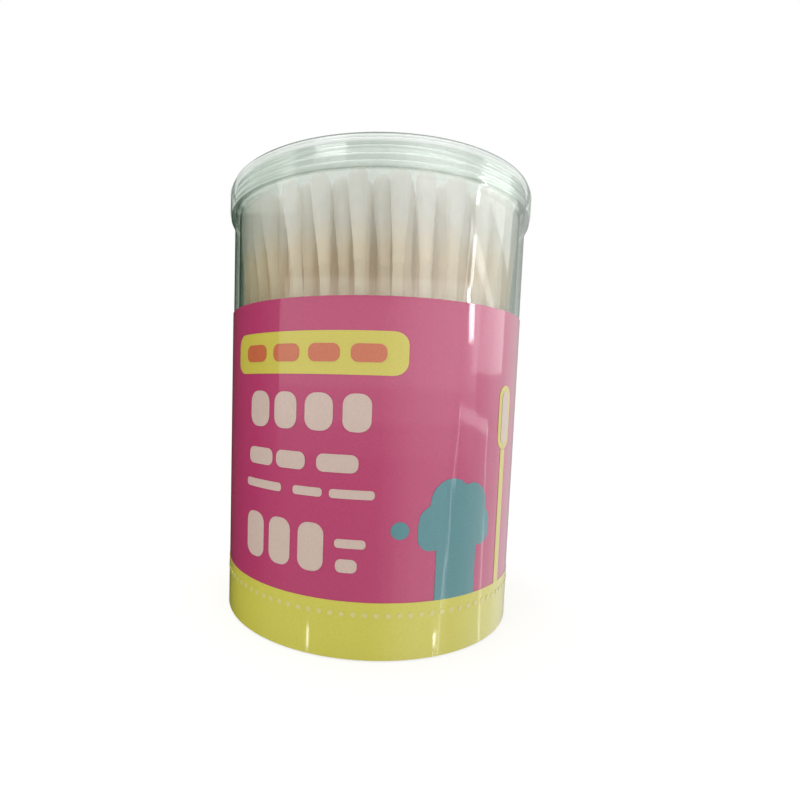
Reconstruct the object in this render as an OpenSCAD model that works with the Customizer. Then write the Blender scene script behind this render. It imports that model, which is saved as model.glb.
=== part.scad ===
/* [Tub] */
// Outer radius of the clear wall
tub_r = 28.9; // [24:0.1:40]
// Room between the longest swab and the rim
head_room = 1.85; // [0.5:0.05:10]
// Thickness of the wall at the mouth
wall_t = 0.9; // [0.7:0.05:1.6]
// How much thicker the wall is at the floor, for the draft inside
draft_t = 0.15; // [0:0.05:0.4]
// Thickness of the floor
floor_t = 1.4; // [1:0.1:2.5]
// Height of the foot ring that carries the floor
foot_h = 1.2; // [0.6:0.1:2.5]
// Width of the foot ring
foot_w = 2.4; // [1.6:0.1:5]
// Radius of the round at the bottom edge
foot_round = 0.4; // [0.3:0.05:1]
// Radius of the round between the floor and the wall, inside
corner_r = 0.8; // [0.3:0.05:1.2]
// Diameter of the moulding gate under the floor
gate_d = 3; // [1:0.5:6]
// Height of the moulding gate
gate_h = 0.3; // [0.1:0.05:0.6]

/* [Neck] */
// Height of the neck above the flange
neck_h = 4; // [2.5:0.1:6]
// Thickness of the neck's wall
neck_t = 0.65; // [0.5:0.05:1]
// Gap around the neck inside the lid
neck_gap = 0.2; // [0.15:0.05:0.4]
// Gap between the sealing bead on the neck and the lid
bead_gap = 0.08; // [0.05:0.01:0.12]
// Width of the sealing bead
bead_w = 0.9; // [0.5:0.05:1.4]
// How far the flange stands out past the skirt over it
flange_w = 0.05; // [0:0.05:0.5]
// Thickness of the flange at its edge
flange_t = 0.5; // [0.3:0.05:1]
// Height of the taper from the wall to the flange
taper_h = 1.5; // [0.8:0.1:3]

/* [Lid] */
// Thickness of the skirt, ribs left out
skirt_t = 0.75; // [0.6:0.05:1.4]
// Thickness of the lid's top
lid_t = 1; // [0.8:0.05:2]
// Gap between the rim and the lid, and between the skirt and the flange
seat_gap = 0.1; // [0.05:0.01:0.3]
// Radius of the round at the top edge
lid_round = 0.7; // [0.3:0.05:0.8]
// Number of grip ribs round the skirt
rib_n = 4; // [1:1:6]
// Height of a grip rib
rib_h = 0.24; // [0.1:0.01:0.3]
// Width of a grip rib
rib_w = 0.72; // [0.5:0.02:0.8]
// Depth of the shallow panel in the top
panel_depth = 0.3; // [0.1:0.05:0.5]
// Width of the stacking ring round that panel
ring_w = 3.2; // [2:0.1:8]

/* [Swabs] */
// Number of swabs
swab_n = 200; // [60:1:220]
// Length of a swab
swab_len = 75.8; // [60:0.1:100]
// How much the length varies from swab to swab
length_spread = 0.7; // [0:0.1:1.5]
// Diameter of the stick
stick_d = 1.65; // [1.4:0.05:2.4]
// Diameter of the cotton at its widest
head_d = 3.1; // [2.6:0.05:4.5]
// Length of the cotton along the swab
head_len = 14.5; // [10:0.5:20]
// Distance from the tip to the widest place
wide_at = 2.3; // [2:0.1:5]
// Thickness of the cotton over the end of the stick
tip_t = 1.5; // [1:0.1:2]
// Thickness of the cotton where it ends on the stick
feather_t = 0.12; // [0.06:0.01:0.3]
// Gap between the stick and the cotton wound on it
wound_gap = 0.05; // [0.03:0.01:0.1]
// Gap between neighbouring swabs at their widest
head_gap = 0.12; // [0.1:0.01:0.4]
// Gap between the swabs and the floor or the wall
stand_gap = 0.1; // [0.05:0.01:0.3]
// Share of the places in the outermost ring that are taken
outer_fill = 0.71; // [0.5:0.01:0.9]
// Turn between the two ends of each ring of swabs but the outermost, one way and the other by turns
ring_twist = 8; // [0:0.5:9]
// Share of the free room that each end of the swabs takes up in its own way
stray = 0.8; // [0:0.05:0.9]

/* [Label] */
// Thickness of the label film
film_t = 0.15; // [0.1:0.01:0.3]
// Height of the label's lower edge
label_z = 0.2; // [0.1:0.1:10]
// Height of the label
label_h = 57.8; // [40:0.1:58]
// Width of the lap where the label meets itself, at the back
lap_w = 8; // [3:0.5:15]
// Thickness of a printed field
ink_t = 0.06; // [0.04:0.01:0.1]
// Height of the yellow band along the label's lower edge
band_h = 9.55; // [5:0.05:12]
// Distance from the band's upper edge down to its row of dots
dots_drop = 2.05; // [1:0.05:4]
// Diameter of a dot
dot_d = 0.9; // [0.4:0.1:1.4]
// Pitch of the dots
dot_pitch = 1.95; // [1.6:0.05:4]

/* [Printed fields] */
// Width of the yellow panel
panel_w = 32; // [15:0.5:40]
// Height of the yellow panel
panel_h = 6.8; // [4:0.1:8]
// Distance from the label's upper edge down to the panel
panel_drop = 5.3; // [2:0.1:8]
// Turn of the yellow panel from the front, to the left
panel_turn = 22.5; // [0:0.5:60]
// Width of the rows of pale bars
rows_w = 24; // [12:0.5:26]
// Turn of the rows' middle from the front, to the left
rows_turn = 23.5; // [0:0.5:60]
// Turn of the cloud from the front, to the right
cloud_turn = 31; // [10:1:60]
// Width of the cloud
cloud_w = 15; // [10:0.5:20]
// Turn of the yellow post from the front, to the right
post_turn = 54; // [40:1:80]
// Width of the yellow post
post_w = 1.8; // [1:0.1:3]

/* [Hidden] */
$fn = 48;
swab_fn = 20;
label_fn = 180;
// how far pieces of one section run into each other, and how far a cut runs past the face it opens
tiny = 0.01;
past = 1;

// heights and radii of the tub, which is as high as the swabs need
floor_z = foot_h + floor_t;
tub_h = floor_z + stand_gap + swab_len + length_spread / 2 + head_room;
seat_z = tub_h - neck_h;
inner_r = tub_r - wall_t;
inner_floor_r = inner_r - draft_t;
neck_r = inner_r + neck_t;
bead_h = neck_gap - bead_gap;

// heights and radii of the lid, which fits the neck
skirt_in_r = neck_r + neck_gap;
skirt_r = skirt_in_r + skirt_t;
flange_r = skirt_r + flange_w;
skirt_z = seat_z + seat_gap;
lid_under = tub_h + seat_gap;
lid_top = lid_under + lid_t;
rib_room = lid_top - lid_round - skirt_z;
rib_pitch = rib_room / rib_n;

// rings of swabs round the one in the middle, ring 0, out to the wall, and what each of them can hold
head_r = head_d / 2;
stick_r = stick_d / 2;
swab_pitch = head_d + head_gap;
outer_ring_r = inner_floor_r - stand_gap - head_r;
ring_n = floor(outer_ring_r / swab_pitch) + 1;
outermost = ring_n - 1;
function ring_r(k) = outer_ring_r * k / outermost;
function least_gap(k) = k == 0 ? 360 : 2 * asin(swab_pitch / 2 / ring_r(k));
function places(k) = floor(360 / least_gap(k));

// the outermost ring stays loose, and each of the others has one swab and its share of the rest
function sum_to(v, n) = n <= 0 ? 0 : v[n - 1] + sum_to(v, n - 1);
function sum(v) = sum_to(v, len(v));
more_places = [for (k = [0:outermost - 1]) places(k) - 1];
outer_n = min(swab_n - outermost, round(places(outermost) * outer_fill));
more_n = min(swab_n - outer_n - outermost, sum(more_places));
function shared_to(k) = round(more_n * sum_to(more_places, k) / sum(more_places));
function ring_count(k) = k == outermost ? outer_n : 1 + shared_to(k + 1) - shared_to(k);

// each end of a ring is a row of gaps: the least one, and a part of the ring's free room. A gap that is wide
// at the head is mostly narrow at the foot, so that neighbours lean apart or together
seed_even = 11;
seed_stray = 101;
seed_length = 61;
clump = 3;
function stray_shares(n, seed, top) =
    let (raw = [for (x = rands(0.05, 0.95, n, seed)) pow(top ? x : 1 - x, clump)])
    raw / sum(raw);
function ring_gaps(k, top) =
    let (
        n = ring_count(k),
        room = 360 - n * least_gap(k),
        even = stray_shares(n, seed_even + k, true),
        own = stray_shares(n, seed_stray + k, top)
    )
    [for (i = [0:n - 1]) least_gap(k) + room * ((1 - stray) * even[i] + stray * own[i])];
function ring_angles(k, top) =
    let (gaps = ring_gaps(k, top))
    [for (i = [0:len(gaps) - 1]) sum_to(gaps, i)];
function mean(v) = sum(v) / len(v);

// where a swab stands: a point at the middle of each end's round, and the swab's length
round_z = floor_z + stand_gap + head_r;
round_span = swab_len - length_spread / 2 - head_d;
function swab_axes(k) =
    let (
        n = ring_count(k),
        r = ring_r(k),
        foot = ring_angles(k, false),
        head = ring_angles(k, true),
        turn = (k == outermost ? 0 : k % 2 == 0 ? 1 : -1) * ring_twist - mean(head - foot),
        spread = rands(-0.5, 0.5, n, seed_length + k)
    )
    [for (i = [0:n - 1]) [
        [r * cos(foot[i]), r * sin(foot[i]), round_z],
        [r * cos(head[i] + turn), r * sin(head[i] + turn), round_z + round_span],
        swab_len + length_spread * spread[i]
    ]];

// the label and its print
label_top = label_z + label_h;
band_top = label_z + band_h;
pink_h = label_h - band_h;
panel_z = label_top - panel_drop - panel_h / 2;
film_r = tub_r + film_t;
lap_turn = 2 * asin(lap_w / 2 / film_r);
back = 90;
dots_n = floor(360 / (2 * asin(dot_pitch / 2 / film_r)));

// shares of a printed field's height that its corner rounds take up, and the steps that a round is drawn in
panel_round = 0.3;
bar_round = 0.4;
corner_steps = 4;

// the red bars in the yellow panel, with sizes as shares of the panel's
red_n = 4;
red_w = panel_w * 0.165;
red_h = panel_h * 0.42;
red_pitch = panel_w * 0.217;

// rows of plain bars on the pink: the row's height and thickness as shares of the pink field's height,
// then each bar's middle and width as shares of the rows' width
bar_rows = [
    [0.627, 0.125, [[-0.365, 0.2], [-0.12, 0.19], [0.14, 0.2], [0.395, 0.18]]],
    [0.46, 0.06, [[-0.35, 0.25], [-0.07, 0.24], [0.275, 0.28]]],
    [0.36, 0.03, [[-0.32, 0.36], [0.07, 0.22], [0.375, 0.29]]],
    [0.173, 0.165, [[-0.395, 0.19], [-0.15, 0.19], [0.105, 0.19]]],
    [0.195, 0.03, [[0.375, 0.2]]],
    [0.12, 0.045, [[0.355, 0.14]]]
];

// the blue cloud: its puffs, its flat foot, the stem under it and the drop beside it. A puff or a drop is a
// place and a radius, all as shares of the cloud's width
cloud_z = band_top + pink_h * 0.285;
puffs = [[-0.3, -0.06, 0.2], [-0.1, 0.15, 0.27], [0.18, 0.12, 0.24], [0.33, -0.1, 0.17]];
cloud_foot = -0.36;
cloud_corner = 0.14;
stem_w = 0.56;
drop = [-0.69, -0.13, 0.095];
cloud_steps = 36;
function half_chord(r, d) = sqrt(r * r - d * d);
function cloud_top(x) = max(concat(
    [cloud_foot + 2 * cloud_corner],
    [for (puff = puffs) if (abs(x - puff[0]) < puff[2]) puff[1] + half_chord(puff[2], x - puff[0])]
));

// the yellow post, which stands on the band, and the round-ended bar on it with a pale bar inside
post_bar_w = 4.6;
post_bar_h = 11.3;
post_bar_z = band_top + pink_h * 0.62;
post_inlay = 0.52;

ring_names = [for (k = [0:ring_n - 1]) str("ring_", k + 1)];

// a block in the half section, from its lower inner corner
module block(r0, z0, r1, z1) {
    translate([r0, z0]) square([r1 - r0, z1 - z0]);
}

// half section of the tub's outer form: round foot, wall, tapered flange, neck and bead
module tub_outline() {
    translate([tub_r - foot_round, foot_round]) circle(foot_round);
    block(0, 0, tub_r - foot_round, seat_z);
    block(0, foot_round, tub_r, seat_z);
    polygon([
        [inner_r, seat_z - flange_t - taper_h],
        [tub_r, seat_z - flange_t - taper_h],
        [flange_r, seat_z - flange_t],
        [flange_r, seat_z],
        [inner_r, seat_z]
    ]);
    block(0, seat_z - tiny, neck_r, tub_h);
    bead(neck_r, seat_z + neck_h / 2, bead_h, bead_w);
}

// a shallow round bead on a wall of radius r
module bead(r, z, h, w) {
    arc_r = (w * w / 4 + h * h) / (2 * h);
    translate([r + h - arc_r, z]) circle(arc_r);
}

module tub_section() {
    difference() {
        tub_outline();
        // inside, with its draft and the round at the floor
        difference() {
            polygon([
                [0, floor_z],
                [inner_floor_r, floor_z],
                [inner_floor_r, floor_z + corner_r],
                [inner_r, seat_z],
                [inner_r, tub_h + past],
                [0, tub_h + past]
            ]);
            difference() {
                block(inner_floor_r - corner_r, floor_z - tiny, inner_floor_r + tiny, floor_z + corner_r);
                translate([inner_floor_r - corner_r, floor_z + corner_r]) circle(corner_r);
            }
        }
        // hollow inside the foot ring
        block(-past, -past, tub_r - foot_w, foot_h);
    }
}

module tub() {
    color("#dfe9e0") {
        rotate_extrude() intersection() {
            tub_section();
            block(0, 0, flange_r + past, tub_h);
        }
        translate([0, 0, foot_h - gate_h]) cylinder(d = gate_d, h = gate_h + floor_t / 2);
    }
}

module lid_section() {
    difference() {
        union() {
            block(0, skirt_z, skirt_r - lid_round, lid_top);
            block(0, skirt_z, skirt_r, lid_top - lid_round);
            translate([skirt_r - lid_round, lid_top - lid_round]) circle(lid_round);
            for (i = [0:rib_n - 1]) bead(skirt_r, skirt_z + rib_pitch * (i + 0.5), rib_h, rib_w);
        }
        block(-past, skirt_z - past, skirt_in_r, lid_under);
        // shallow panel inside the stacking ring
        block(-past, lid_top - panel_depth, skirt_r - lid_round - ring_w, lid_top + past);
    }
}

module lid() {
    color("#dfe9e0") rotate_extrude() intersection() {
        lid_section();
        block(0, 0, skirt_r + past, lid_top + past);
    }
}

// half section of one end of cotton, from its tip at 0, with the hole for the stick
dome_steps = 4;
taper_steps = 3;
function dome(i) = let (a = 90 * i / dome_steps) [head_r * sin(a), wide_at * (1 - cos(a))];
function taper(i) = let (u = i / taper_steps, thin = stick_r + feather_t)
    [thin + (head_r - thin) * (1 + cos(180 * u)) / 2, wide_at + (head_len - wide_at) * u];
module cotton() {
    hole_r = stick_r + wound_gap;
    rotate_extrude($fn = swab_fn) polygon(concat(
        [for (i = [0:dome_steps]) dome(i)],
        [for (i = [1:taper_steps]) taper(i)],
        [[hole_r, head_len], [hole_r, tip_t - wound_gap], [0, tip_t - wound_gap]]
    ));
}

// puts its children on a swab's axis, with z = 0 at the swab's lower tip
module along(axis) {
    run = axis[1] - axis[0];
    lean = acos(run[2] / norm(run));
    toward = atan2(run[1], run[0]);
    translate(axis[0]) rotate([0, lean, toward]) translate([0, 0, -head_r]) children();
}

module sticks(k) {
    color("#e6cfa8") for (axis = swab_axes(k))
        along(axis) translate([0, 0, tip_t]) cylinder(r = stick_r, h = axis[2] - 2 * tip_t, $fn = swab_fn);
}

module lower_cotton(k) {
    color("#f4f3ee") for (axis = swab_axes(k)) along(axis) cotton();
}

module upper_cotton(k) {
    color("#f4f3ee") for (axis = swab_axes(k))
        along(axis) translate([0, 0, axis[2]]) mirror([0, 0, 1]) cotton();
}

// a strip of film or ink round the tub, between two heights and two angles
module strip(r, t, z0, z1, from, to) {
    rotate([0, 0, from]) rotate_extrude(angle = to - from, $fn = label_fn) block(r, z0, r + t, z1);
}

module label() {
    lap_from = back - lap_turn / 2;
    color("#cf5f8f") {
        difference() {
            translate([0, 0, label_z]) cylinder(r = film_r, h = label_h, $fn = label_fn);
            translate([0, 0, label_z - past]) cylinder(r = tub_r, h = label_h + 2 * past, $fn = label_fn);
        }
        strip(film_r - film_t / 2, film_t * 1.5, label_z, label_top, lap_from, lap_from + lap_turn);
    }
}

module print_yellow_band() {
    color("#d3cf5b") {
        strip(film_r, ink_t, label_z, band_top, back + lap_turn / 2, back - lap_turn / 2 + 360);
        strip(film_r + film_t, ink_t, label_z, band_top, back - lap_turn / 2, back + lap_turn / 2);
    }
}

// prints a flat shape on the label: x runs round the tub to the right, y is the height, and turn is counted
// from the front
module printed(turn, layer) {
    r = film_r + layer * ink_t;
    rotate([0, 0, turn]) intersection() {
        difference() {
            cylinder(r = r + ink_t, h = tub_h, $fn = label_fn);
            translate([0, 0, -past]) cylinder(r = r, h = tub_h + 2 * past, $fn = label_fn);
        }
        rotate([90, 0, 0]) linear_extrude(r + 5 * past) children();
    }
}

// a bar with round corners
module pill(w, h, r) {
    polygon([for (quarter = [0:3], step = [0:corner_steps])
        let (
            turn = 90 * (quarter + step / corner_steps),
            side = quarter == 0 || quarter == 3 ? 1 : -1,
            up = quarter < 2 ? 1 : -1
        )
        [side * (w / 2 - r) + r * cos(turn), up * (h / 2 - r) + r * sin(turn)]
    ]);
}

module print_dots() {
    step = (360 - lap_turn) / dots_n;
    color("#cdbfae") for (i = [0:dots_n - 1])
        printed(back + 90 + lap_turn / 2 + step * (i + 0.5), 1)
            translate([0, band_top - dots_drop]) circle(d = dot_d);
}

module print_yellow_panel() {
    color("#d8cd62") printed(-panel_turn, 0)
        translate([0, panel_z]) pill(panel_w, panel_h, panel_h * panel_round);
}

// bars that stand in the yellow panel
module print_red_bars() {
    color("#c9604a") for (i = [0:red_n - 1])
        printed(-panel_turn, 1) translate([(i - (red_n - 1) / 2) * red_pitch, panel_z])
            pill(red_w, red_h, red_h * bar_round);
}

module print_pale_bars() {
    color("#ecdfdc") {
        for (row = bar_rows, bar = row[2]) {
            w = bar[1] * rows_w;
            h = row[1] * pink_h;
            printed(-rows_turn, 0)
                translate([bar[0] * rows_w, band_top + row[0] * pink_h]) pill(w, h, min(w, h) * bar_round);
        }
        printed(post_turn, 1) post_bar(post_bar_w * post_inlay, post_bar_h - post_bar_w * (1 - post_inlay));
    }
}

module post_bar(w, h) {
    translate([0, post_bar_z]) pill(w, h, w * 0.48);
}

// a cloud of round puffs over a flat foot and a stem that stands on the band, and a drop beside it
module print_cloud() {
    c = cloud_corner;
    foot_in = 0.5 - c;
    stem_foot = (band_top - cloud_z) / cloud_w;
    foot_turns = [for (i = [0:corner_steps]) 90 * i / corner_steps];
    stem = [[0.5, 1], [0.5, 0], [-0.5, 0], [-0.5, 1]];
    color("#6fa9ab") {
        printed(cloud_turn, 0) translate([0, cloud_z]) scale(cloud_w) polygon(concat(
            [for (i = [0:cloud_steps]) let (x = i / cloud_steps - 0.5) [x, cloud_top(x)]],
            [for (a = foot_turns) [foot_in + c * cos(a), cloud_foot + c * (1 - sin(a))]],
            [for (p = stem) [p[0] * stem_w, p[1] > 0 ? cloud_foot : stem_foot]],
            [for (a = foot_turns) [-foot_in - c * sin(a), cloud_foot + c * (1 - cos(a))]]
        ));
        printed(cloud_turn, 0)
            translate([drop[0], drop[1]] * cloud_w + [0, cloud_z]) circle(drop[2] * cloud_w);
    }
}

module print_yellow_post() {
    color("#e2d98a") printed(post_turn, 0) {
        post_bar(post_bar_w, post_bar_h);
        translate([-post_w / 2, band_top]) square([post_w, post_bar_z - band_top]);
    }
}

tub();
lid();
label();
print_yellow_band();
print_dots();
print_yellow_panel();
print_red_bars();
print_pale_bars();
print_cloud();
print_yellow_post();
for (k = [0:ring_n - 1]) {
    sticks(k);
    upper_cotton(k);
    lower_cotton(k);
}
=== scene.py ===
import math
import random

import bmesh
import bpy
from mathutils import Matrix, Vector, noise


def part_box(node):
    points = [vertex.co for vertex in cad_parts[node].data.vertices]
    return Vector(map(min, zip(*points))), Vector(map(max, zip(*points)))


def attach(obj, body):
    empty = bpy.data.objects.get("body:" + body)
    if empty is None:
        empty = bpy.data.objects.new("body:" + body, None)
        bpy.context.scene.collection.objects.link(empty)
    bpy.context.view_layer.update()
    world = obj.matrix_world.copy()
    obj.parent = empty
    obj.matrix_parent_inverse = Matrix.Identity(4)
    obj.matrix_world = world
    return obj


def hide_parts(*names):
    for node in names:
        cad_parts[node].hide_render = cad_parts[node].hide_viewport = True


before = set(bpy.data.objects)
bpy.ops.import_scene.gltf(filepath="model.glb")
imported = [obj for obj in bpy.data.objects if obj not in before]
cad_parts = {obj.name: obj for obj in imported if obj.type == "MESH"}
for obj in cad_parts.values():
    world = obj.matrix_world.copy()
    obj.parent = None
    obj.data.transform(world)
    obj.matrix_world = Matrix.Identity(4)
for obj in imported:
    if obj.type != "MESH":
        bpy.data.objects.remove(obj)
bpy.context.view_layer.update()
MM = 0.001


# Tub
# One moulding in clear polystyrene. A foot ring carries the floor, the wall thins a little towards the
# mouth, and a thin neck with a sealing bead stands on the flange.

tub_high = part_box("tub")[1]
tub_h = tub_high.z
flange_r = tub_high.x
wall_r = 28.9 * MM
wall_t = 0.9 * MM
draft_t = 0.15 * MM
foot_h = 1.2 * MM
foot_w = 2.4 * MM
foot_round = 0.4 * MM
floor_t = 1.4 * MM
corner_r = 0.8 * MM
gate_r = 1.5 * MM
gate_h = 0.3 * MM
gate_steps = 32
neck_h = 4.0 * MM
neck_t = 0.65 * MM
bead_h = 0.12 * MM
bead_w = 0.9 * MM
flange_t = 0.5 * MM
taper_h = 1.5 * MM
floor_z = foot_h + floor_t
seat_z = tub_h - neck_h
mouth_r = wall_r - wall_t
neck_r = mouth_r + neck_t
clear_tint = (0.950, 0.960, 0.948, 1)
clear_edge_tint = (0.34, 0.42, 0.34, 1)
neck_tint = (0.930, 0.945, 0.930, 1)
mirror_least = 0.06
mirror_most = 0.85
mirror_power = 5.0
wave_size = 9 * MM
wave_depth = 0.2 * MM
turn_steps = 224
smooth_angle = math.radians(32)


def arc(r, z, radius, start, end, steps=6):
    """Points of a round in the half section, from one angle to another. Angles count from outwards up."""
    turns = [math.radians(start + (end - start) * i / steps) for i in range(steps + 1)]
    return [(r + radius * math.cos(t), z + radius * math.sin(t)) for t in turns]


def bead(r, z, height, width, steps=8):
    """Points of a shallow round bead on a wall, from its lower edge to its upper edge."""
    radius = (width * width / 4 + height * height) / (2 * height)
    half = math.degrees(math.asin(width / 2 / radius))
    return arc(r + height - radius, z, radius, -half, half, steps)


def made_piece(name, bm):
    """The finished mesh as a piece of the scene, smooth but for its sharp edges."""
    mesh = bpy.data.meshes.new(name)
    bm.to_mesh(mesh)
    bm.free()
    mesh.shade_smooth()
    mesh.set_sharp_from_angle(angle=smooth_angle)
    piece = bpy.data.objects.new(name, mesh)
    bpy.context.collection.objects.link(piece)
    return piece


def spun(bm, section, closed, steps=turn_steps, angle=math.tau):
    """Spins a half section round the tub's axis. A closed one that turns less than once gets both ends."""
    points = [bm.verts.new((r, 0, z)) for r, z in section]
    follow = points[1:] + points[:1] if closed else points[1:]
    edges = [bm.edges.new(pair) for pair in zip(points, follow)]
    whole = angle == math.tau
    geometry = points + edges if whole else [bm.faces.new(points)]
    bmesh.ops.spin(
        bm, geom=geometry, axis=(0, 0, 1), cent=(0, 0, 0), angle=angle, steps=steps, use_merge=whole,
    )
    bmesh.ops.remove_doubles(bm, verts=bm.verts, dist=0.001 * MM)
    bmesh.ops.recalc_face_normals(bm, faces=bm.faces)


def shader(tree, kind, inputs=None, **settings):
    """Adds one node. Each input is a plain value, or an output of a node made before."""
    made = tree.nodes.new("ShaderNode" + kind)
    for key, value in settings.items():
        setattr(made, key, value)
    for key, value in (inputs or {}).items():
        if isinstance(value, bpy.types.NodeSocket):
            tree.links.new(value, made.inputs[key])
        else:
            made.inputs[key].default_value = value
    return made


def new_finish(name):
    material = bpy.data.materials.new(name)
    material.use_nodes = True
    material.node_tree.nodes.clear()
    return material, material.node_tree


def show(tree, surface):
    shader(tree, "OutputMaterial", {"Surface": surface})


def place_noise(tree, size, stretch=(1, 1, 1), detail=2.0, roughness=0.5):
    """Noise fixed to the piece, with lumps of about the size given, in metres."""
    place = shader(tree, "TexCoord").outputs["Object"]
    mapped = shader(tree, "Mapping", {"Vector": place, "Scale": stretch})
    return shader(tree, "TexNoise", {
        "Vector": mapped.outputs["Vector"], "Scale": 1 / size, "Detail": detail, "Roughness": roughness,
    }).outputs["Fac"]


def beyond(tree, radius, height):
    """1 on the piece where it is farther out than a radius and higher than a height, and 0 elsewhere."""
    place = shader(tree, "SeparateXYZ", {0: shader(tree, "TexCoord").outputs["Object"]}).outputs
    flat = shader(tree, "CombineXYZ", {0: place["X"], 1: place["Y"]}).outputs[0]
    away = shader(tree, "VectorMath", {0: flat}, operation="LENGTH").outputs["Value"]
    out = shader(tree, "Math", {0: away, 1: radius}, operation="GREATER_THAN").outputs[0]
    high = shader(tree, "Math", {0: place["Z"], 1: height}, operation="GREATER_THAN").outputs[0]
    return shader(tree, "Math", {0: out, 1: high}, operation="MULTIPLY").outputs[0]


def clear_plastic(name, tint, edge_tint, deepens, gloss, wave, rim, past_rim_colour):
    """Clear moulding: it lets light straight through with a tint that deepens where it is seen edge on, and
    mirrors more as it is seen at a slant. Faint waves of the mould break up its highlights. Light that is
    already scattered passes without the tint, as it would through so thin a wall. Past the rim's radius and
    height it takes a colour of its own: the neck's tint on the tub, and on the lid painted shade, a dark
    line along the rounded top edge."""
    material, tree = new_finish(name)
    waves = place_noise(tree, wave_size, (1, 1, 0.4), 1.0)
    bump = shader(tree, "Bump", {
        "Height": waves, "Strength": wave, "Distance": wave_depth,
    }).outputs["Normal"]
    slant = shader(tree, "LayerWeight", {"Blend": 0.5}).outputs["Facing"]
    edge = shader(tree, "Math", {0: slant, 1: deepens}, operation="POWER").outputs[0]
    tinted = shader(tree, "Mix", {"Factor": edge, 6: tint, 7: edge_tint}, data_type="RGBA").outputs[2]
    past_rim = beyond(tree, *rim)
    tinted = shader(tree, "Mix", {"Factor": past_rim, 6: tinted, 7: past_rim_colour}, data_type="RGBA").outputs[2]
    rays = shader(tree, "LightPath").outputs
    passed = shader(tree, "Mix", {
        "Factor": rays["Is Diffuse Ray"], 6: tinted, 7: (1, 1, 1, 1),
    }, data_type="RGBA").outputs[2]
    steep = shader(tree, "Math", {0: slant, 1: mirror_power}, operation="POWER").outputs[0]
    share = shader(tree, "MapRange", {
        "Value": steep, "To Min": mirror_least, "To Max": mirror_most,
    }).outputs[0]
    share = shader(tree, "Math", {
        0: share, 1: rays["Is Shadow Ray"],
    }, operation="SUBTRACT", use_clamp=True).outputs[0]
    through = shader(tree, "BsdfTransparent", {"Color": passed}).outputs[0]
    glossy = shader(tree, "BsdfAnisotropic", {"Color": (1, 1, 1, 1), "Roughness": gloss, "Normal": bump})
    show(tree, shader(tree, "MixShader", {0: share, 1: through, 2: glossy.outputs[0]}).outputs[0])
    return material


wall_section = [(0, foot_h), (wall_r - foot_w, foot_h), (wall_r - foot_w, 0)]
wall_section += arc(wall_r - foot_round, foot_round, foot_round, -90, 0)
wall_section += [
    (wall_r, seat_z - flange_t - taper_h),
    (flange_r, seat_z - flange_t),
    (flange_r, seat_z),
    (neck_r, seat_z),
]
wall_section += bead(neck_r, seat_z + neck_h / 2, bead_h, bead_w)
wall_section += [(neck_r, tub_h), (mouth_r, tub_h), (mouth_r, seat_z)]
wall_section += arc(mouth_r - draft_t - corner_r, floor_z + corner_r, corner_r, 0, -90)
wall_section += [(0, floor_z)]

tub_mesh = bmesh.new()
spun(tub_mesh, wall_section, closed=False)
bmesh.ops.create_cone(
    tub_mesh, cap_ends=True, segments=gate_steps, radius1=gate_r, radius2=gate_r, depth=gate_h,
    matrix=Matrix.Translation((0, 0, foot_h - gate_h / 2)),
)
tub = made_piece("clear_tub", tub_mesh)
tub.data.materials.append(clear_plastic(
    "clear_polystyrene", clear_tint, clear_edge_tint, deepens=2.5, gloss=0.05, wave=0.25,
    rim=(0, seat_z), past_rim_colour=neck_tint,
))
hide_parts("tub")
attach(tub, "tub")


# Sticks
# Two hundred thin round sticks of pale wood, cut square, with a faint grain along them. They stand in rings
# with a little room, so each leans its own way.

ring_n = sum(name.startswith("sticks_ring_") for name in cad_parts)
wood_pale = (0.93, 0.86, 0.72, 1)
wood_dark = (0.91, 0.82, 0.65, 1)
wood_inside = (0.94, 0.825, 0.64, 1)
wood_through = 0.55
grain_size = 0.5 * MM
grain_depth = 0.05 * MM
passed_share = 0.6


def soft_to_light(tree, surface, share):
    """The surface as it is, but a share of the scattered light passes on into the bundle behind it."""
    rays = shader(tree, "LightPath").outputs
    either = shader(tree, "Math", {0: rays["Is Shadow Ray"], 1: rays["Is Diffuse Ray"]}, operation="MAXIMUM")
    passing = shader(tree, "Math", {0: either.outputs[0], 1: share}, operation="MULTIPLY").outputs[0]
    through = shader(tree, "BsdfTransparent").outputs[0]
    return shader(tree, "MixShader", {0: passing, 1: surface, 2: through}).outputs[0]


def stick_wood():
    material, tree = new_finish("pale_stick_wood")
    grain = place_noise(tree, grain_size, (1, 1, 0.05), 3.0)
    tone = shader(tree, "Mix", {"Factor": grain, 6: wood_pale, 7: wood_dark}, data_type="RGBA").outputs[2]
    bump = shader(tree, "Bump", {
        "Height": grain, "Strength": 0.3, "Distance": grain_depth,
    }).outputs["Normal"]
    wood = shader(tree, "BsdfPrincipled", {"Base Color": tone, "Roughness": 0.6, "Normal": bump}).outputs[0]
    inside = shader(tree, "BsdfTranslucent", {"Color": wood_inside}).outputs[0]
    both = shader(tree, "MixShader", {0: wood_through, 1: wood, 2: inside}).outputs[0]
    show(tree, soft_to_light(tree, both, passed_share))
    return material


def islands(mesh):
    """The separate shapes in a mesh, as lists of vertices."""
    left = set(mesh.verts)
    while left:
        found = {left.pop()}
        edge = list(found)
        while edge:
            near = {e.other_vert(v) for v in edge for e in v.link_edges} & left
            found |= near
            left -= near
            edge = list(near)
        yield list(found)


def middle(points):
    return sum(points, Vector()) / len(points)


def stick_ends(node):
    """The middles of both ends of each stick in a node, lower one first, in order round the tub."""
    merged = bmesh.new()
    merged.from_mesh(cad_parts[node].data)
    bmesh.ops.remove_doubles(merged, verts=merged.verts, dist=0.001 * MM)
    half_way = middle([v.co for v in merged.verts]).z
    ends = [
        (middle([v.co for v in stick if v.co.z < half_way]),
         middle([v.co for v in stick if v.co.z > half_way]))
        for stick in islands(merged)
    ]
    merged.free()
    return sorted(ends, key=lambda pair: math.atan2(pair[0].y, pair[0].x))


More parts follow.
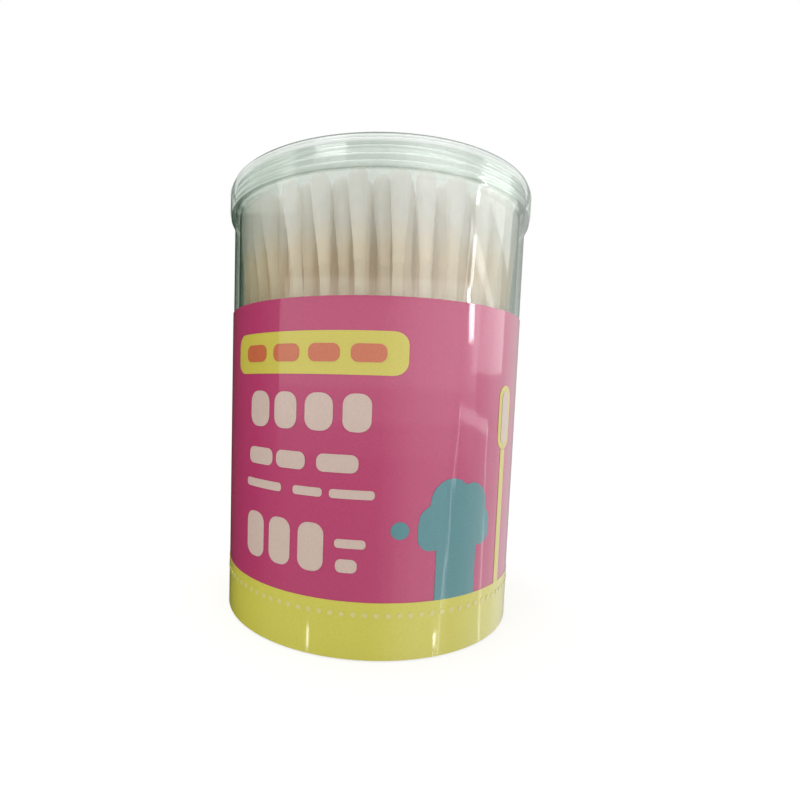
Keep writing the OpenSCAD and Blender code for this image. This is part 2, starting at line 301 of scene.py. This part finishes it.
wood = stick_wood()
for k in range(1, ring_n + 1):
    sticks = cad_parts[f"sticks_ring_{k}"]
    sticks.data.materials.clear()
    sticks.data.materials.append(wood)


# Cotton
# Soft white cotton wound on both ends of each stick: a round tip, widest just behind it, and a long taper
# down onto the stick, where its last thin turns let the wood show through. It is matt and a little fuzzy.

head_r = 1.62 * MM
stick_r = 0.825 * MM
feather_t = 0.12 * MM
head_len = 14.5 * MM
wide_at = 2.3 * MM
tip_t = 1.5 * MM
blunt = 0.85
cotton_white = (0.865, 0.885, 0.880, 1)
# painted shade for the hollows between the cotton's fibres
cotton_hollow_painted_shade = (0.79, 0.80, 0.785, 1)
thin_cotton = (0.92, 0.835, 0.675, 1)
thin_length = 8 * MM
cotton_through = 0.45
tuft_size = 0.9 * MM
fibre_size = 0.16 * MM
fuzz_depth = 0.14 * MM
dent_share = 0.025
dent_size = 2.2 * MM
dent_squash = 0.35
undented_r = stick_r * 1.02
near_rings = 2
cotton_seed = 7


def bud_section(dome_steps, taper_steps):
    """Half section of one end of cotton, from its tip at 0 to where it ends on the stick."""
    dome = [math.pi / 2 * i / dome_steps for i in range(dome_steps + 1)]
    points = [(head_r * math.sin(a) ** blunt, wide_at * (1 - math.cos(a))) for a in dome]
    thin = stick_r + feather_t
    for i in range(1, taper_steps + 1):
        share = i / taper_steps
        points.append((thin + (head_r - thin) * (1 + math.cos(math.pi * share)) / 2,
                       wide_at + (head_len - wide_at) * share))
    return points + [(stick_r, head_len)]


def bud_mesh(around, dome_steps, taper_steps):
    bm = bmesh.new()
    spun(bm, bud_section(dome_steps, taper_steps), closed=False, steps=around)
    mesh = bpy.data.meshes.new("bud")
    bm.to_mesh(mesh)
    bm.free()
    return mesh


def cotton_fibre(half_way, thin_from):
    """Wound cotton: fuzzy white, with painted shade in the hollows between its fibres where their noise is
    low, and tinted by the wood where it is thin. The thin turns begin at a distance from the height half
    way up the swabs."""
    material, tree = new_finish("wound_cotton")
    tufts = place_noise(tree, tuft_size, (1, 1, 0.5), 4.0, 0.6)
    fibres = place_noise(tree, fibre_size, (1, 1, 0.6), 3.0, 0.7)
    both = shader(tree, "Math", {0: tufts, 1: fibres}, operation="ADD").outputs[0]
    depth = shader(tree, "MapRange", {"Value": both, "From Min": 0.75, "From Max": 1.25}).outputs[0]
    # painted shade: the cotton is darker where the tuft and fibre noise is low, in the hollows of its bumps
    tone = shader(tree, "Mix", {
        "Factor": depth, 6: cotton_hollow_painted_shade, 7: cotton_white,
    }, data_type="RGBA").outputs[2]
    height = shader(tree, "SeparateXYZ", {0: shader(tree, "TexCoord").outputs["Object"]}).outputs["Z"]
    above = shader(tree, "Math", {0: height, 1: half_way}, operation="SUBTRACT").outputs[0]
    away = shader(tree, "Math", {0: above}, operation="ABSOLUTE").outputs[0]
    full = shader(tree, "MapRange", {
        "Value": away, "From Min": thin_from, "From Max": thin_from + thin_length,
    }, interpolation_type="SMOOTHSTEP").outputs[0]
    worn = shader(tree, "Mix", {"Factor": full, 6: thin_cotton, 7: tone}, data_type="RGBA").outputs[2]
    bump = shader(tree, "Bump", {"Height": both, "Strength": 0.6, "Distance": fuzz_depth}).outputs["Normal"]
    fibre = shader(tree, "BsdfPrincipled", {
        "Base Color": worn, "Roughness": 0.9, "Specular IOR Level": 0.15, "Sheen Weight": 0.2,
        "Sheen Roughness": 0.6, "Normal": bump,
    })
    inside = shader(tree, "BsdfTranslucent", {"Color": worn}).outputs[0]
    soft = shader(tree, "MixShader", {0: cotton_through, 1: fibre.outputs[0], 2: inside}).outputs[0]
    show(tree, soft_to_light(tree, soft, passed_share))
    return material


def add_bud(bm, bud, tip, inwards, draw):
    """Puts one bud in place, turned at random about the stick, and pressed in here and there."""
    before = len(bm.verts)
    bm.from_mesh(bud)
    bm.verts.ensure_lookup_table()
    new = bm.verts[before:]
    for v in new:
        out = Vector((v.co.x, v.co.y, 0))
        if out.length > undented_r:
            dent = noise.noise(Vector((v.co.x, v.co.y, v.co.z * dent_squash)) / dent_size + tip / MM)
            v.co -= out * dent_share * (1 + dent)
    stand = Vector((0, 0, 1)).rotation_difference(inwards).to_matrix().to_4x4()
    spin_own = Matrix.Rotation(draw.uniform(0, math.tau), 4, "Z")
    bmesh.ops.transform(bm, matrix=Matrix.Translation(tip) @ stand @ spin_own, verts=new)


sticks_low, sticks_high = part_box(f"sticks_ring_{ring_n}")
half_way = (sticks_low.z + sticks_high.z) / 2
cotton = cotton_fibre(half_way, sticks_high.z + tip_t - head_len - half_way)
near_bud = bud_mesh(around=14, dome_steps=5, taper_steps=5)
inner_bud = bud_mesh(around=10, dome_steps=4, taper_steps=3)
hidden_bud = bud_mesh(around=8, dome_steps=3, taper_steps=2)
draw = random.Random(cotton_seed)
for k in range(1, ring_n + 1):
    upper = bmesh.new()
    lower = bmesh.new()
    upper_bud = near_bud if k > ring_n - near_rings else inner_bud
    for low_end, high_end in stick_ends(f"sticks_ring_{k}"):
        up = (high_end - low_end).normalized()
        add_bud(upper, upper_bud, high_end + up * tip_t, -up, draw)
        add_bud(lower, hidden_bud, low_end - up * tip_t, up, draw)
    for bm, end in ((upper, "upper"), (lower, "lower")):
        piece = made_piece(f"{end}_wound_cotton_{k}", bm)
        piece.data.materials.append(cotton)
        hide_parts(f"{end}_cotton_ring_{k}")
        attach(piece, "tub")


# Lid
# One clear moulding that presses over the neck. Four rounded ribs run round its skirt for grip, its top edge
# is rounded, and a ring round a shallow panel lets the next tub stand on it.

lid_low, lid_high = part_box("lid")
skirt_z = lid_low.z
lid_top = lid_high.z
rib_n = 4
rib_h = 0.24 * MM
rib_w = 0.72 * MM
neck_gap = 0.2 * MM
skirt_t = 0.75 * MM
lid_t = 1.0 * MM
lid_round = 0.7 * MM
panel_depth = 0.3 * MM
ring_w = 3.2 * MM
skirt_in_r = neck_r + neck_gap
skirt_r = skirt_in_r + skirt_t
panel_r = skirt_r - lid_round - ring_w
rib_pitch = (lid_top - lid_round - skirt_z) / rib_n
# past this depth in from the lid's top, its rounded edge gets painted shade: a dark grey line along its
# outline
rim_depth = 0.5 * MM
lid_rim = (skirt_r - rim_depth, lid_top - rim_depth)
lid_tint = (0.925, 0.942, 0.930, 1)
lid_edge_tint = (0.74, 0.80, 0.75, 1)
# painted shade for the dark line along the lid's rounded top edge
lid_rim_painted_shade = (0.42, 0.46, 0.44, 1)

lid_under = lid_top - lid_t
lid_section = [(0, lid_under), (skirt_in_r, lid_under), (skirt_in_r, skirt_z), (skirt_r, skirt_z)]
for i in range(rib_n):
    lid_section += bead(skirt_r, skirt_z + rib_pitch * (i + 0.5), rib_h, rib_w)
lid_section += arc(skirt_r - lid_round, lid_top - lid_round, lid_round, 0, 90)
lid_section += [(panel_r, lid_top), (panel_r, lid_top - panel_depth), (0, lid_top - panel_depth)]

lid_mesh = bmesh.new()
spun(lid_mesh, lid_section, closed=False)
lid = made_piece("clear_lid", lid_mesh)
lid.data.materials.append(clear_plastic(
    "clear_lid_plastic", lid_tint, lid_edge_tint, deepens=2.0, gloss=0.08, wave=0.3,
    rim=lid_rim, past_rim_colour=lid_rim_painted_shade,
))
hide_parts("lid")
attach(lid, "lid")


# Label
# A printed film with a glossy face, wrapped once round the tub and lapped over itself at the back. The film
# has drawn in a little unevenly, so its highlights run in broken streaks.

film_t = 0.15 * MM
film_r = wall_r + film_t
label_low, label_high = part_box("label")
label_z = label_low.z
label_top = label_high.z
lap_w = 8 * MM
lap_turn = 2 * math.asin(lap_w / 2 / film_r)
lap_steps = 12
ripple_size = 5 * MM
ripple_depth = 0.25 * MM
film_grain = 0.5 * MM
film_grain_depth = 0.02 * MM
mottle_size = 0.35 * MM
film_pink = (0.412, 0.025, 0.122, 1)
film_rose = (0.354, 0.017, 0.096, 1)
backing_white = (0.80, 0.79, 0.76, 1)


def film_waves(tree):
    """The film's waves: long ripples up and down the tub, and a faint fine grain."""
    ripples = place_noise(tree, ripple_size, (1, 1, 0.16), 2.0)
    grain = place_noise(tree, film_grain, (1, 1, 1), 1.0)
    wide = shader(tree, "Bump", {
        "Height": ripples, "Strength": 0.35, "Distance": ripple_depth,
    }).outputs["Normal"]
    return shader(tree, "Bump", {
        "Height": grain, "Strength": 0.06, "Distance": film_grain_depth, "Normal": wide,
    }).outputs["Normal"]


def film_print(name, colour, deep):
    """Ink under the film's gloss, with the slight mottle that print has. The film's inner face is backed
    with white, as print on clear film is."""
    material, tree = new_finish(name)
    mottle = place_noise(tree, mottle_size, (1, 1, 1), 3.0, 0.7)
    spread = shader(tree, "MapRange", {"Value": mottle, "From Min": 0.3, "From Max": 0.7}).outputs[0]
    ink = shader(tree, "Mix", {"Factor": spread, 6: deep, 7: colour}, data_type="RGBA").outputs[2]
    outside = beyond(tree, wall_r + film_t / 3, 0)
    ink = shader(tree, "Mix", {"Factor": outside, 6: backing_white, 7: ink}, data_type="RGBA").outputs[2]
    surface = shader(tree, "BsdfPrincipled", {
        "Base Color": ink, "Roughness": 0.35, "Specular IOR Level": 0.3, "Coat Weight": 0.8,
        "Coat Roughness": 0.06, "Normal": film_waves(tree),
    })
    tree.links.new(surface.inputs["Normal"].links[0].from_socket, surface.inputs["Coat Normal"])
    show(tree, surface.outputs[0])
    return material


def ring_section(r, thick, z0, z1):
    return [(r, z0), (r + thick, z0), (r + thick, z1), (r, z1)]


def joined(parts):
    """One mesh from several."""
    whole = bmesh.new()
    for part in parts:
        held = bpy.data.meshes.new("part")
        part.to_mesh(held)
        part.free()
        whole.from_mesh(held)
        bpy.data.meshes.remove(held)
    return whole


film_mesh = bmesh.new()
spun(film_mesh, ring_section(wall_r, film_t, label_z, label_top), closed=True)
lap_mesh = bmesh.new()
spun(lap_mesh, ring_section(film_r, film_t, label_z, label_top), True, lap_steps, lap_turn)
at_back = Matrix.Rotation(math.pi / 2 - lap_turn / 2, 3, "Z")
bmesh.ops.rotate(lap_mesh, verts=lap_mesh.verts, matrix=at_back)
label = made_piece("label_film", joined([film_mesh, lap_mesh]))
label.data.materials.append(film_print("pink_print", film_pink, film_rose))
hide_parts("label")
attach(label, "tub")


# Print
# Flat fields of ink on the pink: a yellow band with a row of dots along the lower edge, a yellow panel with
# red bars, rows of pale bars, a blue cloud on a stem, and a yellow post with a pale inlay. They are part of
# the film and bend with it.

ink_t = 0.06 * MM
band_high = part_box("print_yellow_band")[1].z
pink_h = label_top - band_high
yellow = (0.54, 0.515, 0.064, 1)
yellow_deep = (0.49, 0.46, 0.050, 1)
panel_yellow = (0.52, 0.46, 0.055, 1)
panel_deep = (0.48, 0.42, 0.045, 1)
pale = (0.54, 0.42, 0.37, 1)
pale_deep = (0.48, 0.37, 0.32, 1)
dot_pale = (0.57, 0.53, 0.19, 1)
dot_deep = (0.53, 0.49, 0.16, 1)
red = (0.50, 0.12, 0.04, 1)
red_deep = (0.44, 0.09, 0.03, 1)
blue = (0.045, 0.20, 0.225, 1)
blue_deep = (0.036, 0.17, 0.19, 1)
bend_step = 1.0 * MM


def bar(bm, x, z, w, h, corner):
    """A flat bar with round corners, upright in the plane y = 0."""
    place = Matrix.Translation((x, 0, z)) @ Matrix.Rotation(math.pi / 2, 4, "X")
    scaled = place @ Matrix.Diagonal((w, h, 1, 1))
    made = bmesh.ops.create_grid(bm, x_segments=1, y_segments=1, size=0.5, matrix=scaled)
    bmesh.ops.bevel(
        bm, geom=made["verts"], offset=corner, affect="VERTICES", segments=5, profile=0.5, material=-1,
    )


def disc(bm, x, z, r, around=24):
    place = Matrix.Translation((x, 0, z)) @ Matrix.Rotation(math.pi / 2, 4, "X")
    bmesh.ops.create_circle(bm, cap_ends=True, segments=around, radius=r, matrix=place)


def bent_on(bm, turn, layer):
    """Cuts flat shapes into strips, gives them the ink's thickness, and bends them onto the film at a turn
    from the front."""
    low = min(v.co.x for v in bm.verts)
    high = max(v.co.x for v in bm.verts)
    cut = math.ceil(low / bend_step) * bend_step
    while cut < high:
        bmesh.ops.bisect_plane(
            bm, geom=bm.verts[:] + bm.edges[:] + bm.faces[:], plane_co=(cut, 0, 0), plane_no=(1, 0, 0),
        )
        cut += bend_step
    lower = film_r + layer * ink_t
    sheet = bmesh.ops.extrude_face_region(bm, geom=bm.faces[:])["geom"]
    outer = {v for v in sheet if isinstance(v, bmesh.types.BMVert)}
    for v in bm.verts:
        r = lower + ink_t if v in outer else lower
        x = v.co.x * r / (film_r + ink_t)
        v.co = (x, -math.sqrt(r * r - x * x), v.co.z)
    bmesh.ops.rotate(bm, verts=bm.verts, matrix=Matrix.Rotation(turn, 3, "Z"))
    bmesh.ops.recalc_face_normals(bm, faces=bm.faces)


def print_piece(name, node, bm, finish):
    piece = made_piece(name, bm)
    piece.data.materials.append(finish)
    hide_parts(node)
    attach(piece, "tub")


yellow_ink = film_print("yellow_print", yellow, yellow_deep)
pale_ink = film_print("pale_print", pale, pale_deep)

band_steps = 200
round_part = bmesh.new()
spun(round_part, ring_section(film_r, ink_t, label_z, band_high), True, band_steps, math.tau - lap_turn)
lap_edge = Matrix.Rotation(math.pi / 2 + lap_turn / 2, 3, "Z")
bmesh.ops.rotate(round_part, verts=round_part.verts, matrix=lap_edge)
over_lap = bmesh.new()
spun(over_lap, ring_section(film_r + film_t, ink_t, label_z, band_high), True, lap_steps, lap_turn)
bmesh.ops.rotate(over_lap, verts=over_lap.verts, matrix=at_back)
print_piece("yellow_band", "print_yellow_band", joined([round_part, over_lap]), yellow_ink)

dot_r = 0.45 * MM
dot_pitch = 1.95 * MM
dots_drop = 2.05 * MM
dots_n = math.floor(math.pi / math.asin(dot_pitch / 2 / film_r))
dot_step = (math.tau - lap_turn) / dots_n
dots = []
for i in range(dots_n):
    dot = bmesh.new()
    disc(dot, 0, band_high - dots_drop, dot_r, around=12)
    bent_on(dot, math.pi + lap_turn / 2 + dot_step * (i + 0.5), 1)
    dots.append(dot)
dot_ink = film_print("dot_print", dot_pale, dot_deep)
print_piece("band_dots", "print_dots", joined(dots), dot_ink)

panel_low, panel_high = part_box("print_yellow_panel")
panel_turn = -math.radians(22.5)
panel_w = 32 * MM
panel_h = panel_high.z - panel_low.z
panel_z = (panel_high.z + panel_low.z) / 2
panel_round = 0.3
bar_round = 0.4
panel = bmesh.new()
bar(panel, 0, panel_z, panel_w, panel_h, panel_h * panel_round)
bent_on(panel, panel_turn, 0)
panel_ink = film_print("panel_print", panel_yellow, panel_deep)
print_piece("yellow_panel", "print_yellow_panel", panel, panel_ink)

red_n = 4
red_w = panel_w * 0.165
red_h = panel_h * 0.42
red_pitch = panel_w * 0.217
red_bars = bmesh.new()
for i in range(red_n):
    bar(red_bars, (i - (red_n - 1) / 2) * red_pitch, panel_z, red_w, red_h, red_h * bar_round)
bent_on(red_bars, panel_turn, 1)
print_piece("red_bars", "print_red_bars", red_bars, film_print("red_print", red, red_deep))

rows_w = 24 * MM
rows_turn = -math.radians(23.5)
# each row's height and thickness as shares of the pink field's height, then each bar's middle and width as
# shares of the rows' width
bar_rows = [
    (0.627, 0.125, [(-0.365, 0.2), (-0.12, 0.19), (0.14, 0.2), (0.395, 0.18)]),
    (0.46, 0.06, [(-0.35, 0.25), (-0.07, 0.24), (0.275, 0.28)]),
    (0.36, 0.03, [(-0.32, 0.36), (0.07, 0.22), (0.375, 0.29)]),
    (0.173, 0.165, [(-0.395, 0.19), (-0.15, 0.19), (0.105, 0.19)]),
    (0.195, 0.03, [(0.375, 0.2)]),
    (0.12, 0.045, [(0.355, 0.14)]),
]
post_turn = math.radians(54)
post_w = 1.8 * MM
post_bar_w = 4.6 * MM
post_bar_h = 11.3 * MM
post_bar_z = band_high + pink_h * 0.62
post_inlay = 0.52
pill_round = 0.48
stem_round = 0.1

pale_bars = bmesh.new()
for height, thick, bars in bar_rows:
    for x, width in bars:
        w = width * rows_w
        h = thick * pink_h
        bar(pale_bars, x * rows_w, band_high + height * pink_h, w, h, min(w, h) * bar_round)
bent_on(pale_bars, rows_turn, 0)
inlay_w = post_bar_w * post_inlay
inlay = bmesh.new()
bar(inlay, 0, post_bar_z, inlay_w, post_bar_h - post_bar_w + inlay_w, inlay_w * pill_round)
bent_on(inlay, post_turn, 1)
print_piece("pale_bars", "print_pale_bars", joined([pale_bars, inlay]), pale_ink)

cloud_w = 15 * MM
cloud_turn = math.radians(31)
cloud_z = band_high + pink_h * 0.285
cloud_steps = 72
# places and radii as shares of the cloud's width, and so are its foot, its corners, its stem and the drop
puffs = [(-0.3, -0.06, 0.2), (-0.1, 0.15, 0.27), (0.18, 0.12, 0.24), (0.33, -0.1, 0.17)]
cloud_foot = -0.36
cloud_corner = 0.14
stem_w = 0.56
drop_x = -0.69
drop_z = -0.13
drop_r = 0.095


def cloud_top(x):
    """Height of the cloud's outline over a place along it: the highest puff there."""
    tops = [z + math.sqrt(r * r - (x - at) ** 2) for at, z, r in puffs if abs(x - at) < r]
    return max(tops + [cloud_foot + 2 * cloud_corner])


stem_foot = (band_high - cloud_z) / cloud_w
foot_in = 0.5 - cloud_corner
outline = [(x, cloud_top(x)) for x in (i / cloud_steps - 0.5 for i in range(cloud_steps + 1))]
outline += arc(foot_in, cloud_foot + cloud_corner, cloud_corner, 0, -90)
outline += [(stem_w / 2, cloud_foot), (stem_w / 2, stem_foot)]
outline += [(-stem_w / 2, stem_foot), (-stem_w / 2, cloud_foot)]
outline += arc(-foot_in, cloud_foot + cloud_corner, cloud_corner, -90, -180)
cloud = bmesh.new()
cloud.faces.new([cloud.verts.new((x * cloud_w, 0, cloud_z + z * cloud_w)) for x, z in outline])
disc(cloud, drop_x * cloud_w, cloud_z + drop_z * cloud_w, drop_r * cloud_w)
bent_on(cloud, cloud_turn, 0)
print_piece("blue_cloud", "print_cloud", cloud, film_print("blue_print", blue, blue_deep))

post = bmesh.new()
bar(post, 0, post_bar_z, post_bar_w, post_bar_h, post_bar_w * pill_round)
stem_top = post_bar_z - post_bar_h / 2
bar(post, 0, (band_high + stem_top) / 2, post_w, stem_top - band_high, post_w * stem_round)
bent_on(post, post_turn, 0)
print_piece("yellow_post", "print_yellow_post", post, panel_ink)


# Room
# A plain white floor that fades into a white backdrop. The room is bright at the front right, where a pale
# wall and two windows stand, and dark behind on the left. The film and the clear walls mirror it.

floor_r = 1.2
fade_from = 0.09
fade_to = 0.20
fade_least = 0.7
floor_white = (0.93, 0.93, 0.93, 1)
soft_light = (1.0, 0.985, 0.95, 1)
soft_left = 1.16
soft_right = 0.52
# what the tub mirrors: colours by the turn from the front in degrees, positive to the right
room_turns = [
    (-180, (0.12, 0.14, 0.12)),
    (-166, (0.01, 0.03, 0.01)),
    (-125, (0.02, 0.04, 0.02)),
    (-98, (0.05, 0.07, 0.05)),
    (-60, (0.56, 0.58, 0.56)),
    (6, (0.80, 0.80, 0.80)),
    (34, (1.90, 1.90, 1.90)),
    (58, (2.00, 2.00, 2.00)),
    (68, (1.40, 1.40, 1.40)),
    (100, (1.60, 1.60, 1.60)),
    (128, (1.20, 1.20, 1.20)),
    (150, (0.65, 0.66, 0.65)),
    (172, (0.08, 0.10, 0.08)),
    (180, (0.12, 0.14, 0.12)),
]


def floor_paint():
    """White floor: it takes the shadow near the tub, and farther off it is as white as the backdrop."""
    material, tree = new_finish("white_floor")
    place = shader(tree, "TexCoord").outputs["Object"]
    away = shader(tree, "VectorMath", {0: place}, operation="LENGTH").outputs["Value"]
    fade = shader(tree, "MapRange", {
        "Value": away, "From Min": fade_from, "From Max": fade_to, "To Min": fade_least,
    }).outputs[0]
    paint = shader(tree, "BsdfDiffuse", {"Color": floor_white}).outputs[0]
    glow = shader(tree, "Emission", {"Strength": 1.0}).outputs[0]
    path = shader(tree, "LightPath").outputs
    seen = shader(tree, "Math", {
        0: path["Is Camera Ray"], 1: path["Is Transmission Ray"],
    }, operation="MAXIMUM")
    share = shader(tree, "Math", {0: fade, 1: seen.outputs[0]}, operation="MULTIPLY").outputs[0]
    show(tree, shader(tree, "MixShader", {0: share, 1: paint, 2: glow}).outputs[0])
    return material


ground_mesh = bmesh.new()
bmesh.ops.create_circle(ground_mesh, cap_ends=True, segments=96, radius=floor_r)
ground = made_piece("floor", ground_mesh)
ground.data.materials.append(floor_paint())
ground.visible_glossy = False

world = bpy.data.worlds.new("room")
bpy.context.scene.world = world
world.use_nodes = True
sky = world.node_tree
sky.nodes.clear()


def sky_math(operation, *values):
    return shader(sky, "Math", dict(enumerate(values)), operation=operation).outputs[0]


def bright_strip(across, along, lean, at, half, low, high, strength):
    """Light of one strip of the room. It runs along one angle from low to high, leans as it goes, and
    spreads by half its width to each side across the other angle. All in degrees."""
    line = sky_math("COMPARE", sky_math("MULTIPLY_ADD", along, lean, across), at, half)
    reach = sky_math("COMPARE", along, (low + high) / 2, (high - low) / 2)
    return sky_math("MULTIPLY", sky_math("MULTIPLY", line, reach), strength)


way = shader(sky, "SeparateXYZ", {0: shader(sky, "TexCoord").outputs["Generated"]}).outputs
turn = sky_math("DEGREES", sky_math("ARCTAN2", way["X"], sky_math("MULTIPLY", way["Y"], -1)))
height = sky_math("DEGREES", sky_math("ARCSINE", way["Z"]))
strips = [
    # a narrow bright window high on the right
    bright_strip(turn, height, 0.44, 79.6, 1.8, 6.5, 11, 20),
    bright_strip(turn, height, -0.27, 74.1, 1.5, 11, 17, 10),
    bright_strip(turn, height, -0.27, 74.1, 1.5, 20.5, 22, 14),
    # the frame of a lower window: two sides and the top
    bright_strip(turn, height, -0.356, 69.5, 0.6, -32, -1, 3.5),
    bright_strip(turn, height, 0.163, 97.2, 0.8, -32, -3, 2.5),
    bright_strip(height, turn, 0.062, 2.95, 0.8, 68, 98, 2.5),
    # small lamps low down
    bright_strip(turn, height, 0, -43.5, 1.2, -28.2, -26, 14),
    bright_strip(turn, height, 0, 57, 1.3, -27.2, -26, 16),
    bright_strip(turn, height, 0, 57, 0.9, -28.6, -28.2, 14),
    # the wall in front, which grows paler upwards
    bright_strip(turn, height, 0, 4.5, 79.5, -7, 11.6, 0.3),
    bright_strip(turn, height, 0, 4.5, 79.5, -3, 11.6, 0.5),
    bright_strip(turn, height, 0, 4.5, 79.5, 1, 11.6, 0.6),
    # pale walls higher up round the lid, and the ceiling
    bright_strip(turn, height, 0, -37, 12, 25, 60, 2.0),
    bright_strip(turn, height, 0, 96, 18, 3, 25, 2.1),
    bright_strip(turn, height, 0, -115, 50, 19, 38, 1.2),
    bright_strip(turn, height, 0, 0, 100, 42, 80, 3.2),
]
glow = strips[0]
for strip in strips[1:]:
    glow = sky_math("ADD", glow, strip)
ramp = shader(sky, "ValToRGB", {
    "Fac": shader(sky, "MapRange", {"Value": turn, "From Min": -180, "From Max": 180}).outputs[0],
})
stops = ramp.color_ramp.elements
for _ in room_turns[2:]:
    stops.new(0.5)
for stop, (at, colour) in zip(stops, room_turns):
    stop.position = (at + 180) / 360
    stop.color = (*colour, 1)
gradient = shader(sky, "MapRange", {
    "Value": way["X"], "From Min": -1, "To Min": soft_left, "To Max": soft_right,
}).outputs[0]
soft = shader(sky, "Background", {"Color": soft_light, "Strength": gradient}).outputs[0]
walls = shader(sky, "Background", {"Color": ramp.outputs["Color"]}).outputs[0]
lights = shader(sky, "Background", {"Color": (1, 1, 1, 1), "Strength": glow}).outputs[0]
mirrored = shader(sky, "AddShader", {0: walls, 1: lights}).outputs[0]
white = shader(sky, "Background", {"Color": (1, 1, 1, 1), "Strength": 1.0}).outputs[0]
rays = shader(sky, "LightPath").outputs
seen = sky_math("MAXIMUM", rays["Is Camera Ray"], rays["Is Transmission Ray"])
lit = shader(sky, "MixShader", {0: rays["Is Glossy Ray"], 1: soft, 2: mirrored}).outputs[0]
shown = shader(sky, "MixShader", {0: seen, 1: lit, 2: white}).outputs[0]
shader(sky, "OutputWorld", {"Surface": shown})


def lamp(name, turn, height, away, size, power):
    """A soft rectangular lamp that faces the tub, at a turn to the right of the camera's side."""
    light = bpy.data.lights.new(name, "AREA")
    light.shape = "RECTANGLE"
    light.size, light.size_y = size
    light.energy = power
    holder = bpy.data.objects.new(name, light)
    holder.visible_glossy = False
    a = math.radians(turn)
    holder.location = (away * math.sin(a), -away * math.cos(a), height)
    holder.rotation_euler = (Vector((0, 0, tub_h / 2)) - holder.location).to_track_quat("-Z", "Y").to_euler()
    bpy.context.collection.objects.link(holder)


lamp("side_lamp", turn=62, height=0.45, away=0.7, size=(0.35, 0.35), power=0.35)
lamp("top_lamp", turn=0, height=0.9, away=0.04, size=(0.4, 0.4), power=4.0)

# place, turn and lens of the photograph's camera, in label radii, degrees and pixels of an 800 pixel frame
photo_px = 800
camera_place = Vector((0, -3.605, 1.468)) * film_r
camera_yaw = 2.156
camera_pitch = -4.414
camera_roll = -1.866
focal_px = 488.045
middle_px = (352.604, 433.543)
camera = bpy.data.cameras.new("camera")
camera.sensor_width = 36
camera.lens = camera.sensor_width * focal_px / photo_px
camera.shift_x = (photo_px / 2 - middle_px[0]) / photo_px
camera.shift_y = (middle_px[1] - photo_px / 2) / photo_px
camera.clip_start = 0.005
view = bpy.data.objects.new("camera", camera)
yaw = Matrix.Rotation(math.radians(camera_yaw), 4, "Z")
pitch = Matrix.Rotation(math.radians(camera_pitch), 4, "X")
roll = Matrix.Rotation(math.radians(camera_roll), 4, "Y")
level = Matrix.Rotation(math.pi / 2, 4, "X")
turned = yaw @ pitch @ roll @ level
view.matrix_world = Matrix.Translation(camera_place) @ turned
bpy.context.collection.objects.link(view)
bpy.context.scene.camera = view

bpy.context.scene.view_settings.view_transform = "Standard"
bpy.context.scene.cycles.transparent_max_bounces = 32
bpy.context.scene.cycles.diffuse_bounces = 12
bpy.context.scene.cycles.max_bounces = 16
